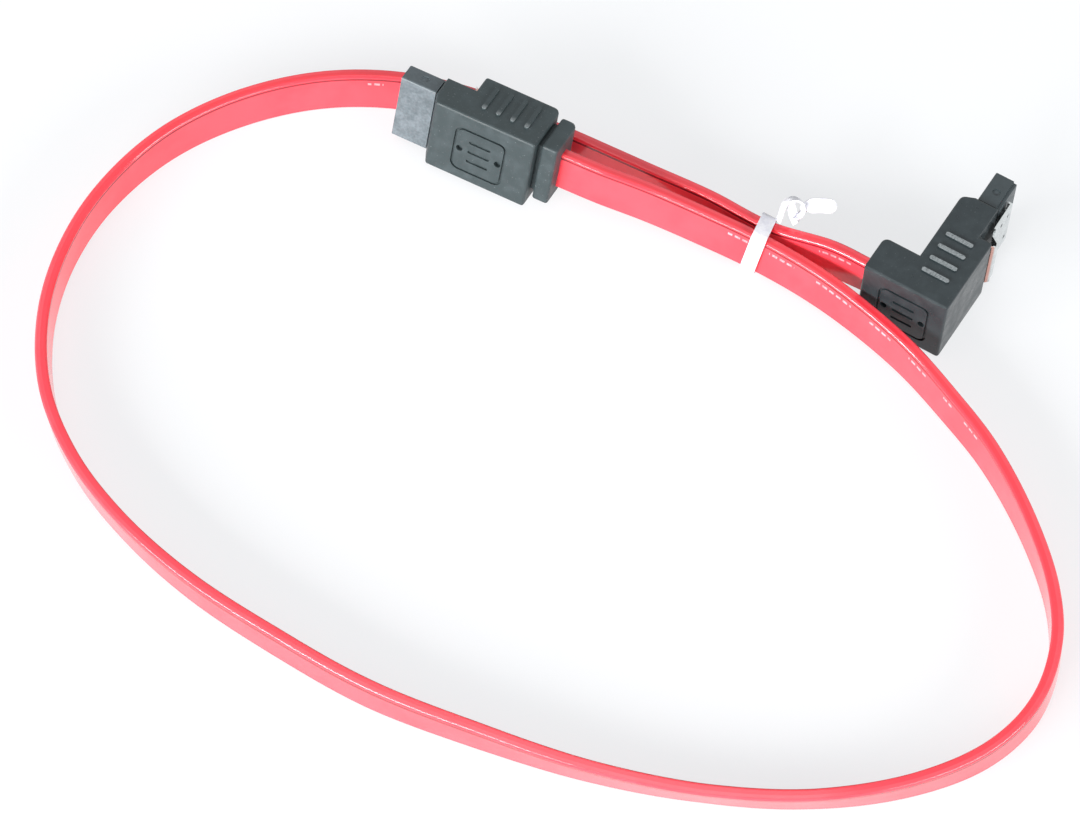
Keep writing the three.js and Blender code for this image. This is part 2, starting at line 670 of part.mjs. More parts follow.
function ribbon() {
  return flatStrip(ROUTE, RIBBON_THICKNESS, RIBBON_WIDTH, RIBBON_BEVEL, RIBBON_STEPS);
}

// Tie: a band round both stretches of ribbon, its two ends twisted together, and one flat tail.
// Its own frame has X along the ribbons, Y away from the loop and its middle between the ribbons.
function tie() {
  const inY = TIE_RIBBON_PITCH / 2 + RIBBON_THICKNESS / 2 + CLEARANCE;
  const inZ = RIBBON_WIDTH / 2 + TIE_HEADROOM;
  const outY = inY + TIE_THICKNESS;
  const outZ = inZ + TIE_THICKNESS;
  const half = TIE_WIDTH / 2;
  const inCorner = TIE_CORNER - TIE_THICKNESS;
  const band = alongX(rectangle(-outY, outY, -outZ, outZ, TIE_CORNER), -half, half)
    .subtract(alongX(rectangle(-inY, inY, -inZ, inZ, inCorner), -half - 1, half + 1));
  const twist = flatStrip([
    [0.2, outY - 1.8, outZ + 0.2, 90],
    [1.3, outY - 0.4, outZ + 1.1, 160],
    [2.5, outY + 1.1, outZ + 1.8, 280],
    [3.6, outY + 2.5, outZ + 2.3, 400],
    [4.6, outY + 3.6, outZ + 2.6, 440],
  ], TIE_TWIST_THICKNESS, TIE_WIDTH, TIE_CUT, 14);
  const tail = flatStrip([
    [3.6, outY + 2.7, outZ + 2.3, 430],
    [5.6, outY + 4.3, outZ + 2.8, 445],
    [9.4, outY + 5.6, outZ + 2.9, 450],
  ], TIE_THICKNESS, TIE_WIDTH, TIE_CUT, 8);
  return band.add(twist).add(tail);
}

// Assembly

function plugPieces(name, plug, overmould, wireSolid) {
  const group = new THREE.Group();
  group.add(meshOf(`${name}_overmould`, overmould, blackVinyl));
  group.add(meshOf(`${name}_receptacle`, receptacleBody(latchPocket()), blackResin));
  group.add(meshOf(`${name}_latch`, latchSpring(plug), springSteel));
  contactPlaces().forEach((place, i) => {
    group.add(meshOf(`${name}_contact_${i + 1}`, contact(place), goldPlate));
    const drain = i % 3 === 0;
    const wireName = drain ? `${name}_drain_wire_${i / 3 + 1}` : `${name}_signal_wire_${i - Math.floor(i / 3)}`;
    group.add(meshOf(wireName, wireSolid(place, i), drain ? tinnedCopper : wireSkin));
  });
  return group;
}

// Tips an object's top to its +Y side and then turns it in plan
function leanAndTurn(object, lean, yaw) {
  object.rotation.set(-THREE.MathUtils.degToRad(lean), 0, THREE.MathUtils.degToRad(yaw), 'ZYX');
}

const straight = plugPieces('straight', STRAIGHT, straightOvermould(), straightWire);
leanAndTurn(straight, STRAIGHT_LEAN, STRAIGHT_YAW);
straight.position.set(STRAIGHT_AT[0], STRAIGHT_AT[1], 0);
straight.position.z = -new THREE.Box3().setFromObject(straight, true).min.z;

const angledHead = plugPieces('angled', ANGLED, angledOvermould(), angledWire);
angledHead.rotation.z = -Math.PI / 2;
angledHead.position.set(ANGLED.armReach, ANGLED.bodyLength, 0);
const angled = new THREE.Group();
angled.add(angledHead);
angled.rotation.z = THREE.MathUtils.degToRad(ANGLED_YAW);
angled.position.set(ANGLED_AT[0], ANGLED_AT[1], 0);

const tieMesh = meshOf('twist_tie', tie(), whiteVinyl);
leanAndTurn(tieMesh, TIE_LEAN, TIE_YAW);
tieMesh.position.set(...TIE_AT);

const part = new THREE.Group();
part.add(straight, angled, meshOf('ribbon_cable', ribbon(), redVinyl), tieMesh);
part.updateMatrixWorld(true);

export default part;
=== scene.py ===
"""Dresses a flat red data cable with two latching receptacles and a white twist tie.

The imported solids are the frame. The plugs' solids keep their shapes and get their finishes here.
The ribbon and the tie are modelled again in full and stand for their plain solids.
"""

from __future__ import annotations

import logging
import math
from collections.abc import Callable, Iterable, Sequence
from dataclasses import dataclass
from enum import Enum

import bmesh
import bpy
from mathutils import Matrix, Vector

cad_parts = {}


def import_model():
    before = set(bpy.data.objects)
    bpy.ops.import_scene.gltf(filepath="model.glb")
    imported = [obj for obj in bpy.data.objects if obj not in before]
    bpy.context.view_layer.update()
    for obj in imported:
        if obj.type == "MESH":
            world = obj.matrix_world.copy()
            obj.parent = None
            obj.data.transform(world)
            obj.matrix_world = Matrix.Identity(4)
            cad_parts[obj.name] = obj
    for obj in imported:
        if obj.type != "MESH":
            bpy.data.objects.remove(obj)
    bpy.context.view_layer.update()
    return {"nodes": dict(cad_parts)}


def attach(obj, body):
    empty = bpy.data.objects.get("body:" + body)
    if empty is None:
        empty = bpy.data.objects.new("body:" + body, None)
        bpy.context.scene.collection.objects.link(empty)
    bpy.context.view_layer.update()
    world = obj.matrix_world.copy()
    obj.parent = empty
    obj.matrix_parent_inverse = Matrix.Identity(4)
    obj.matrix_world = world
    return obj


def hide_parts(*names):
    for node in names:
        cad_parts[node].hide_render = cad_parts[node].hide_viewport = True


log = logging.getLogger("data_cable")

# Linear red, green, blue and alpha, then three lengths or factors, then two
Colour = tuple[float, float, float, float]
Place = tuple[float, float, float]
Pair = tuple[float, float]

MM = 0.001
CABLE_BODY = "cable"
PLUG_WIDTH = 15.0 * MM

# How much of a unit direction has to lie along an axis for it to count as running that way
ALONG_AXIS = 0.8

# The ribbon's route from the straight plug round to the right-angled plug, as x, y and z in
# metres and the lean of its top edge to the outside of the loop in degrees
ROUTE = (
    (-0.02415, 0.00548, 0.00836, 11.3),
    (-0.018, 0.0034, 0.0081, 11.0),
    (-0.009, 0.0016, 0.0066, 11.0),
    (0.0, -0.0012, 0.0058, 10.5),
    (0.0111, -0.0055, 0.0053, 10.0),
    (0.0209, -0.0106, 0.0051, 9.0),
    (0.029, -0.016, 0.0048, 7.0),
    (0.0381, -0.0234, 0.0043, 5.0),
    (0.0459, -0.0318, 0.00395, 3.0),
    (0.0537, -0.0418, 0.00395, 1.0),
    (0.06125, -0.056, 0.00395, -2.0),
    (0.06575, -0.0693, 0.00395, -4.0),
    (0.0665, -0.0798, 0.00395, -4.0),
    (0.0635, -0.0909, 0.00395, -1.0),
    (0.0563, -0.1001, 0.00395, 5.0),
    (0.0441, -0.10745, 0.00395, 12.0),
    (0.0276, -0.1122, 0.00395, 18.0),
    (0.0096, -0.1133, 0.00395, 20.0),
    (-0.009, -0.1115, 0.00395, 16.0),
    (-0.0281, -0.10705, 0.00395, 10.0),
    (-0.0466, -0.1014, 0.00395, 7.0),
    (-0.0629, -0.0935, 0.00395, 7.0),
    (-0.0784, -0.08445, 0.00395, 9.0),
    (-0.0907, -0.0745, 0.00395, 11.0),
    (-0.1001, -0.0637, 0.00395, 11.0),
    (-0.1067, -0.05105, 0.00395, 9.0),
    (-0.1093, -0.0367, 0.00395, 6.0),
    (-0.108, -0.0225, 0.00395, 4.0),
    (-0.1031, -0.0088, 0.00395, 4.0),
    (-0.094, 0.00425, 0.00395, 7.0),
    (-0.08225, 0.0136, 0.00395, 9.0),
    (-0.0684, 0.01965, 0.00395, 9.0),
    (-0.0542, 0.0215, 0.00395, 9.0),
    (-0.04, 0.0194, 0.00395, 9.0),
    (-0.0254, 0.014, 0.00395, 9.0),
    (-0.0093, 0.0076, 0.0041, 9.0),
    (0.0016, 0.0029, 0.0047, 9.5),
    (0.0125, -0.0025, 0.00495, 10.0),
    (0.024, -0.00645, 0.0071, 4.0),
    (0.03022, -0.0093, 0.0075, 0.0),
)

# Stretches of the ribbon that have pale dashes, from and to along it in metres
MARKED_STRETCHES = (
    (0.0319, 0.0362),
    (0.0401, 0.0453),
    (0.0499, 0.0576),
    (0.0619, 0.0669),
    (0.0715, 0.0762),
    (0.0812, 0.0836),
    (0.0872, 0.0914),
    (0.4446, 0.4474),
    (0.5321, 0.5381),
)

# The end of the tie that comes down through the curl, and its tail, as points along and up in the
# knot's plane, in millimetres
TUCK = ((-0.5, 8.6), (-0.55, 7.9), (-0.45, 7.1), (-0.2, 6.3), (0.15, 5.5), (0.5, 4.8), (0.7, 4.4))
TAIL = (
    (1.3, 6.8), (1.8, 7.2), (2.3, 7.5), (3.0, 7.7), (3.9, 7.8), (4.8, 7.75), (5.7, 7.65),
    (6.4, 7.55), (6.8, 7.5), (7.1, 7.45), (7.35, 7.42), (7.5, 7.4),
)


def srgb(red: float, green: float, blue: float) -> Colour:
    """Turns a colour of 0 to 255 values into linear values with full alpha.

    Args:
        red: Red, 0 to 255.
        green: Green, 0 to 255.
        blue: Blue, 0 to 255.

    Returns:
        The linear red, green, blue and alpha.
    """

    def linear(value: float) -> float:
        """Gives one channel's linear value."""
        share = value / 255
        return share / 12.92 if share <= 0.04045 else ((share + 0.055) / 1.055) ** 2.4

    return (linear(red), linear(green), linear(blue), 1.0)


class MeshPart(Enum):
    """What a selection in a mesh is made of."""

    EDGES = "EDGE"
    FACES = "FACE"


class Signal:
    """A shader socket that can be used in arithmetic."""

    def __init__(self, wiring: Wiring, socket: bpy.types.NodeSocket) -> None:
        """Wraps an output socket of one owner's nodes."""
        self.wiring = wiring
        self.socket = socket

    def math(self, operation: str, *values: Signal | float) -> Signal:
        """Adds a Math node.

        Args:
            operation: The node's operation.
            values: Its inputs, in order.

        Returns:
            The node's value.
        """
        node = self.wiring.add("ShaderNodeMath", {"operation": operation}, dict(enumerate(values)))
        return Signal(self.wiring, node.outputs[0])

    def __add__(self, other: Signal | float) -> Signal:
        """Adds."""
        return self.math("ADD", self, other)

    def __radd__(self, other: float) -> Signal:
        """Adds to a number."""
        return self.math("ADD", other, self)

    def __sub__(self, other: Signal | float) -> Signal:
        """Subtracts."""
        return self.math("SUBTRACT", self, other)

    def __rsub__(self, other: float) -> Signal:
        """Subtracts from a number."""
        return self.math("SUBTRACT", other, self)

    def __mul__(self, other: Signal | float) -> Signal:
        """Multiplies."""
        return self.math("MULTIPLY", self, other)

    def __rmul__(self, other: float) -> Signal:
        """Multiplies a number."""
        return self.math("MULTIPLY", other, self)

    def __lt__(self, other: Signal | float) -> Signal:
        """Gives 1 where this is smaller."""
        return self.math("LESS_THAN", self, other)

    def distance(self, centre: float) -> Signal:
        """Gives how far this is from a number."""
        return self.math("ABSOLUTE", self - centre)

    def repeat(self, period: float) -> Signal:
        """Wraps this into 0 to a period."""
        return self.math("FLOORED_MODULO", self, period)

    def larger(self, other: Signal | float) -> Signal:
        """Gives the larger of two values."""
        return self.math("MAXIMUM", self, other)


class Wiring:
    """The nodes of one material or world."""

    def __init__(self, owner: bpy.types.Material | bpy.types.World) -> None:
        """Clears the owner's nodes."""
        self.owner = owner
        owner.use_nodes = True
        self.tree = owner.node_tree
        self.tree.nodes.clear()

    @classmethod
    def of_material(cls, name: str) -> Wiring:
        """Starts a new material."""
        return cls(bpy.data.materials.new(name))

    def add(
        self,
        kind: str,
        settings: dict[str, object] | None = None,
        inputs: dict[str | int, object] | None = None,
    ) -> bpy.types.Node:
        """Adds a node.

        Args:
            kind: The node's type.
            settings: Its settings, set first.
            inputs: Values, signals or nodes for its sockets, by name or index.

        Returns:
            The node.
        """
        node = self.tree.nodes.new(kind)
        for name, value in (settings or {}).items():
            setattr(node, name, value)
        for key, value in (inputs or {}).items():
            self.feed(node.inputs[key], value)
        return node

    def feed(self, socket: bpy.types.NodeSocket, value: object) -> None:
        """Links or sets one input socket.

        Args:
            socket: The input.
            value: A signal or node to link, or a plain value.
        """
        if isinstance(value, Signal):
            self.tree.links.new(value.socket, socket)
        elif isinstance(value, bpy.types.Node):
            self.tree.links.new(value.outputs[0], socket)
        else:
            socket.default_value = value

    def signal(self, node: bpy.types.Node, output: str | int = 0) -> Signal:
        """Wraps a node's output."""
        return Signal(self, node.outputs[output])

    def place(self, matrix: Matrix | None = None) -> Signal:
        """Gives the point on the piece, in metres.

        Args:
            matrix: A frame of its own to measure in, or none for the object's frame.

        Returns:
            The point as a vector signal.
        """
        point = self.signal(self.add("ShaderNodeTexCoord"), "Object")
        if matrix is None:
            return point
        mapping = self.add(
            "ShaderNodeMapping",
            {"vector_type": "TEXTURE"},
            {
                "Vector": point,
                "Location": matrix.to_translation(),
                "Rotation": matrix.to_euler("XYZ"),
            },
        )
        return self.signal(mapping)

    def split(self, vector: Signal) -> tuple[Signal, Signal, Signal]:
        """Splits a vector into its three values."""
        node = self.add("ShaderNodeSeparateXYZ", None, {"Vector": vector})
        return (self.signal(node, "X"), self.signal(node, "Y"), self.signal(node, "Z"))

    def noise(self, point: Signal, size: float, detail: float, roughness: float = 0.55) -> Signal:
        """Adds smooth noise.

        Args:
            point: Where it is read.
            size: The size of its lumps in metres.
            detail: Its number of finer layers.
            roughness: How strong the finer layers are.

        Returns:
            The noise, about 0.5 on average.
        """
        node = self.add(
            "ShaderNodeTexNoise",
            None,
            {"Vector": point, "Scale": 1 / size, "Detail": detail, "Roughness": roughness},
        )
        return self.signal(node, "Fac")

    def spread(
        self,
        value: Signal,
        low: float,
        high: float,
        to_low: float = 0.0,
        to_high: float = 1.0,
    ) -> Signal:
        """Maps a range onto another with a smooth, clamped step.

        Args:
            value: What is mapped.
            low: Where it starts.
            high: Where it ends.
            to_low: The result at and below low.
            to_high: The result at and above high.

        Returns:
            The mapped value.
        """
        node = self.add(
            "ShaderNodeMapRange",
            {"interpolation_type": "SMOOTHSTEP"},
            {"Value": value, "From Min": low, "From Max": high, "To Min": to_low, "To Max": to_high},
        )
        return self.signal(node)

    def mix(
        self,
        mask: Signal | float,
        under: Signal | Sequence[float],
        over: Signal | Sequence[float],
    ) -> Signal:
        """Lays one colour over another.

        Args:
            mask: How much of the upper colour shows.
            under: The lower colour.
            over: The upper colour.

        Returns:
            The mixed colour.
        """
        node = self.add("ShaderNodeMix", {"data_type": "RGBA"}, {"Factor": mask, 6: under, 7: over})
        return self.signal(node, 2)

    def bump(self, height: Signal, depth: float, strength: float) -> Signal:
        """Turns a height into a normal.

        Args:
            height: The height, 0 to 1.
            depth: What a height of 1 is, in metres.
            strength: How much of it shows.

        Returns:
            The normal.
        """
        sockets = {"Height": height, "Distance": depth, "Strength": strength}
        return self.signal(self.add("ShaderNodeBump", None, sockets))

    def shade(self, sockets: dict[str, object]) -> bpy.types.Material:
        """Ends the material in a Principled shader with these sockets and returns it."""
        return self.end(self.add("ShaderNodeBsdfPrincipled", None, sockets))

    def end(self, shader: bpy.types.Node, output: str = "ShaderNodeOutputMaterial") -> bpy.types.ID:
        """Ends the nodes in an output that shows a shader.

        Args:
            shader: The shader's node.
            output: The output's type.

        Returns:
            The nodes' owner.
        """
        self.add(output, None, {"Surface": shader})
        return self.owner


@dataclass(frozen=True)
class PlugFrame:
    """Where a plug's own frame lies: X to its cable end, Y to its latch side and Z across it."""

    at: Place
    yaw: float
    lean: float

    def matrix(self) -> Matrix:
        """Gives the matrix from the plug's frame to the part's frame."""
        turn = Matrix.Rotation(math.radians(self.yaw), 4, "Z")
        tip = Matrix.Rotation(math.radians(-self.lean), 4, "X")
        return Matrix.Translation(self.at) @ (turn @ tip)


STRAIGHT_FRAME = PlugFrame(at=(-0.04836, 0.0078, 0.00204), yaw=-21.4, lean=11.3)
ANGLED_FRAME = PlugFrame(at=(0.04499, 0.00428, 0.0), yaw=-115.6, lean=0.0)
TIE_FRAME = PlugFrame(at=(0.01185, -0.0040, 0.0052), yaw=-24.5, lean=10.0)


@dataclass(frozen=True)
class MouldedVinyl:
    """The soft black moulding of a plug's body, with pale specks and a painted highlight on its rib
    tops near one side.
    """

    name: str
    frame: PlugFrame
    base: Colour = srgb(50, 60, 62)
    worn: Colour = srgb(66, 76, 79)
    # Pale colour of the specks and of the painted highlight on the rib tops
    speck_and_highlight: Colour = srgb(150, 156, 158)
    roughness: float = 0.5
    # Where and how strongly the rib tops get the painted highlight
    highlight_from: float = 3.0 * MM
    highlight_to: float = 4.4 * MM
    highlight_strength: float = 0.75
    speck_strength: float = 0.35
    rib_foot: float = PLUG_WIDTH + 0.22 * MM
    rib_top: float = PLUG_WIDTH + 0.33 * MM
    cloud_size: float = 2.5 * MM
    grain_size: float = 0.12 * MM
    speck_size: float = 0.35 * MM
    patch_size: float = 0.3 * MM
    relief: float = 0.03 * MM

    def make(self) -> bpy.types.Material:
        """Builds the material."""
        w = Wiring.of_material(self.name)
        point = w.place(self.frame.matrix())
        _, across, up = w.split(point)
        cloud = w.noise(point, self.cloud_size, 4.0)
        grain = w.noise(point, self.grain_size, 2.0)
        speck = w.spread(w.noise(point, self.speck_size, 2.0), 0.66, 0.74)
        colour = w.mix(w.spread(cloud, 0.42, 0.72, 0.0, 0.55), self.base, self.worn)
        colour = w.mix(speck * self.speck_strength, colour, self.speck_and_highlight)
        # Rib tops near one side are lightened: a painted highlight
        rib = w.spread(up, self.rib_foot, self.rib_top)
        near = w.spread(across, self.highlight_from, self.highlight_to, 1.0, 0.0)
        patch = w.spread(w.noise(point, self.patch_size, 3.0), 0.25, 0.6, 0.35, 1.0)
        colour = w.mix(rib * near * patch * self.highlight_strength, colour, self.speck_and_highlight)
        roughness = w.spread(cloud, 0.3, 0.7, self.roughness - 0.07, self.roughness + 0.07)
        height = grain * 0.6 + cloud * 0.4
        return w.shade({
            "Base Color": colour,
            "Roughness": roughness,
            "Specular IOR Level": 0.4,
            "Normal": w.bump(height, self.relief, 0.5),
        })


@dataclass(frozen=True)
class HardResin:
    """The hard grey-black moulding of a receptacle, with a dusty bloom, thinned on its upper side as
    painted shade.
    """

    name: str
    frame: PlugFrame
    base: Colour = srgb(62, 71, 75)
    bloom: Colour = srgb(120, 130, 136)
    # Where the painted shade on the upper side starts and is full
    top_shade_from: float = PLUG_WIDTH - 0.75 * MM
    top_shade_to: float = PLUG_WIDTH - 0.6 * MM
    cloud_size: float = 1.6 * MM
    flow_size: float = 0.5 * MM
    relief: float = 0.02 * MM

    def make(self) -> bpy.types.Material:
        """Builds the material."""
        w = Wiring.of_material(self.name)
        point = w.place(self.frame.matrix())
        cloud = w.noise(point, self.cloud_size, 5.0, 0.65)
        flow = w.noise(point, self.flow_size, 3.0)
        _, _, up = w.split(point)
        # The bloom is thinned on the upper side, which reads darker: painted shade
        top_shade_factor = w.spread(up, self.top_shade_from, self.top_shade_to, 1.0, 0.3)
        dust = w.spread(cloud * 0.6 + flow * 0.4, 0.3, 0.75, 0.3, 0.9) * top_shade_factor
        colour = w.mix(dust, self.base, self.bloom)
        return w.shade({
            "Base Color": colour,
            "Roughness": w.spread(cloud, 0.3, 0.7, 0.34, 0.5),
            "Normal": w.bump(flow, self.relief, 0.4),
        })


@dataclass(frozen=True)
class SpringSheet:
    """Bright stamped spring steel with fine rolling lines, which picks up a warm tint on its lip."""

    name: str
    frame: PlugFrame
    lip_from: float
    base: Colour = srgb(222, 226, 226)
    dull: Colour = srgb(176, 180, 182)
    tint: Colour = srgb(206, 140, 122)
    lip_fade: float = 0.3 * MM
    line_size: float = 0.18 * MM
    line_stretch: Place = (0.12, 1.0, 1.0)
    smear_size: float = 2.0 * MM
    relief: float = 0.02 * MM

    def make(self) -> bpy.types.Material:
        """Builds the material."""
        w = Wiring.of_material(self.name)
        point = w.place(self.frame.matrix())
        along, _, _ = w.split(point)
        drawn = w.add("ShaderNodeMapping", None, {"Vector": point, "Scale": self.line_stretch})
        lines = w.noise(w.signal(drawn), self.line_size, 3.0)
        smear = w.noise(point, self.smear_size, 3.0)
        colour = w.mix(w.spread(smear * 0.6 + lines * 0.4, 0.35, 0.8, 0.0, 0.8), self.base, self.dull)
        lip = w.spread(along, self.lip_from, self.lip_from + self.lip_fade)
        colour = w.mix(lip * 0.8, colour, self.tint)
        return w.shade({
            "Base Color": colour,
            "Metallic": 1.0,
            "Roughness": w.spread(lines, 0.3, 0.7, 0.24, 0.38),
            "Normal": w.bump(lines * 0.7 + smear * 0.3, self.relief, 0.5),
        })


@dataclass(frozen=True)
class PlatedMetal:
    """A plated contact or a tinned wire, with faint streaks."""

    name: str
    base: Colour
    dull: Colour
    roughness: float
    streak_size: float = 0.4 * MM
    relief: float = 0.01 * MM

    def make(self) -> bpy.types.Material:
        """Builds the material."""
        w = Wiring.of_material(self.name)
        point = w.place()
        streak = w.noise(point, self.streak_size, 4.0)
        return w.shade({
            "Base Color": w.mix(w.spread(streak, 0.4, 0.7), self.base, self.dull),
            "Metallic": 1.0,
            "Roughness": w.spread(streak, 0.3, 0.7, self.roughness - 0.06, self.roughness + 0.08),
            "Normal": w.bump(streak, self.relief, 0.4),
        })


@dataclass(frozen=True)
class WireSkin:
    """The pale insulation of a signal wire."""

    name: str
    base: Colour = srgb(232, 228, 218)
    shaded: Colour = srgb(206, 200, 186)
    cloud_size: float = 0.8 * MM
    relief: float = 0.01 * MM

    def make(self) -> bpy.types.Material:
        """Builds the material."""
        w = Wiring.of_material(self.name)
        point = w.place()
        cloud = w.noise(point, self.cloud_size, 3.0)
        return w.shade({
            "Base Color": w.mix(w.spread(cloud, 0.4, 0.7), self.base, self.shaded),
            "Roughness": w.spread(cloud, 0.3, 0.7, 0.42, 0.55),
            "Normal": w.bump(cloud, self.relief, 0.3),
        })


@dataclass(frozen=True)
class RibbonJacket:
    """The ribbon's soft red jacket: painted shade on its upper edge and in its creases, faint waves
    and pale dashes.

    The piece's UV map holds metres along the ribbon in U and metres round its section in V.
    """

    name: str
    head_middle: float
    grooves: tuple[Pair, Pair]
    # The creases' colour: painted shade
    crease_shade: Colour = srgb(100, 16, 30)
    base: Colour = srgb(247, 74, 86)
    deep: Colour = srgb(241, 65, 78)
    # The upper edge's colour, darker than the face: painted shade
    head: Colour = srgb(244, 54, 68)
    head_half: float = 0.7 * MM
    ink: Colour = srgb(255, 190, 196)
    mark_drop: float = 2.2 * MM
    mark_half: float = 0.24 * MM
    dash_pitch: float = 1.5 * MM
    dash_length: float = 1.0 * MM
    cloud_size: float = 9.0 * MM
    fine_size: float = 0.5 * MM
    wave_size: float = 4.0 * MM
    relief: float = 0.04 * MM

    def make(self) -> bpy.types.Material:
        """Builds the material."""
        w = Wiring.of_material(self.name)
        strip = w.signal(w.add("ShaderNodeUVMap", {"uv_map": "strip"}))
        along, around, _ = w.split(strip)
        point = w.place()
        cloud = w.noise(point, self.cloud_size, 3.0)
        fine = w.noise(point, self.fine_size, 3.0)
        colour = w.mix(w.spread(cloud, 0.35, 0.7), self.base, self.deep)
        # The upper edge is darkened: painted shade
        off_head = around.distance(self.head_middle)
        head_shade = w.spread(off_head, self.head_half * 0.8, self.head_half, 1.0, 0.0)
        colour = w.mix(head_shade, colour, self.head)
        # The creases are darkened: painted shade
        for middle, half in self.grooves:
            shade = w.spread(around.distance(middle), half * 0.6, half, 0.85, 0.0)
            colour = w.mix(shade, colour, self.crease_shade)
        colour = w.mix(self.marks(w, along, around, fine), colour, self.ink)
        wave = w.noise(point, self.wave_size, 2.0)
        return w.shade({
            "Base Color": colour,
            "Roughness": w.spread(cloud, 0.3, 0.7, 0.12, 0.16),
            "Specular IOR Level": 0.62,
            "Subsurface Weight": 0.12,
            "Subsurface Radius": (1.0, 0.25, 0.2),
            "Subsurface Scale": 0.6 * MM,
            "Normal": w.bump(wave, self.relief, 0.3),
        })

    def marks(self, w: Wiring, along: Signal, around: Signal, fine: Signal) -> Signal:
        """Gives the mask of the pale dashes on the inner face.

        Args:
            w: The material's nodes.
            along: Metres along the ribbon.
            around: Metres round its section.
            fine: Fine noise that breaks the dashes up.

        Returns:
            The mask.
        """
        shown: Signal | float = 0.0
        for start, end in MARKED_STRETCHES:
            stretch = along.distance((start + end) / 2) < (end - start) / 2
            shown = stretch + shown
        off_middle = around.distance(self.head_middle + self.mark_drop)
        tall = w.spread(off_middle, self.mark_half * 0.85, self.mark_half * 1.15, 1.0, 0.0)
        stroke = along.repeat(self.dash_pitch).distance(self.dash_pitch / 2)
        wide = w.spread(stroke, self.dash_length * 0.4, self.dash_length * 0.6, 1.0, 0.0)
        return shown * tall * wide * w.spread(fine, 0.3, 0.6, 0.25, 0.7)


@dataclass(frozen=True)
class TieFilm:
    """The tie's white plastic film, faintly creased."""

    name: str
    base: Colour = srgb(236, 236, 241)
    shaded: Colour = srgb(222, 222, 231)
    cloud_size: float = 1.5 * MM
    crease_size: float = 0.6 * MM
    relief: float = 0.06 * MM

    def make(self) -> bpy.types.Material:
        """Builds the material."""
        w = Wiring.of_material(self.name)
        point = w.place()
        cloud = w.noise(point, self.cloud_size, 3.0)
        crease = w.noise(point, self.crease_size, 2.0)
        return w.shade({
            "Base Color": w.mix(w.spread(cloud, 0.4, 0.7), self.base, self.shaded),
            "Roughness": w.spread(crease, 0.3, 0.7, 0.18, 0.3),
            "Normal": w.bump(crease, self.relief, 0.4),
        })


@dataclass(frozen=True)
class TableTop:
    """The pale table, which shows near white to the camera and keeps the part's shadow."""

    name: str = "pale_table"
    cool: Colour = (0.86, 0.875, 0.89, 1.0)
    warm: Colour = (0.89, 0.88, 0.89, 1.0)
    glow: Colour = (0.97, 0.985, 1.0, 1.0)
    lift: float = 0.74
    cloud_size: float = 0.12

    def make(self) -> bpy.types.Material:
        """Builds the material."""
        w = Wiring.of_material(self.name)
        point = w.place()
        cloud = w.noise(point, self.cloud_size, 2.0)
        colour = w.mix(w.spread(cloud, 0.3, 0.7), self.cool, self.warm)
        matt = w.add("ShaderNodeBsdfDiffuse", None, {"Color": colour})
        glow = w.add("ShaderNodeEmission", None, {"Color": self.glow, "Strength": 1.0})
        seen = seen_directly(w) * self.lift
        return w.end(w.add("ShaderNodeMixShader", None, {"Fac": seen, 1: matt, 2: glow}))


def seen_directly(w: Wiring) -> Signal:
    """Gives 1 for rays of the camera, of reflections and through glass, and 0 for light's rays."""
    path = w.add("ShaderNodeLightPath")
    camera = w.signal(path, "Is Camera Ray")
    glossy = w.signal(path, "Is Glossy Ray")
    clear = w.signal(path, "Is Transmission Ray")
    return camera.larger(glossy).larger(clear)


def smooth_route(rows: Sequence[Sequence[float]], steps: int) -> list[tuple[Vector, float]]:
    """Draws a smooth line through a route's points, with its tangents weighed by the spans' roots.

    Args:
        rows: The points, each as x, y, z and a turn in degrees.
        steps: The number of steps between two points.

    Returns:
        Points on the line, each with its turn in radians.
    """
    points = [Vector(row[:3]) for row in rows]
    turns = [math.radians(row[3]) for row in rows]
    before_first = 2 * points[0] - points[1]
    after_last = 2 * points[-1] - points[-2]
    padded = [before_first, *points, after_last]
    line: list[tuple[Vector, float]] = []
    for i in range(len(points) - 1):
        a, b, c, d = padded[i:i + 4]
        spans = [math.sqrt((q - p).length) for p, q in ((a, b), (b, c), (c, d))]
        leave = ((b - a) / spans[0] - (c - a) / (spans[0] + spans[1]) + (c - b) / spans[1]) * spans[1]
        reach = ((c - b) / spans[1] - (d - b) / (spans[1] + spans[2]) + (d - c) / spans[2]) * spans[1]
        for k in range(steps):
            t = k / steps
            cubic = 2 * t**3 - 3 * t**2
            place = b * (cubic + 1) + leave * (t**3 - 2 * t**2 + t) - c * cubic + reach * (t**3 - t**2)
            line.append((place, turns[i] + (turns[i + 1] - turns[i]) * t))
    line.append((points[-1], turns[-1]))
    return line


@dataclass(frozen=True)
class Ring:
    """One section's place on a swept piece, with the two directions that it is drawn in."""

    place: Vector
    across: Vector
    up: Vector


def run_of(points: Sequence[Vector], i: int) -> Vector:
    """Gives the direction of a line at one of its points."""
    return (points[min(i + 1, len(points) - 1)] - points[max(i - 1, 0)]).normalized()


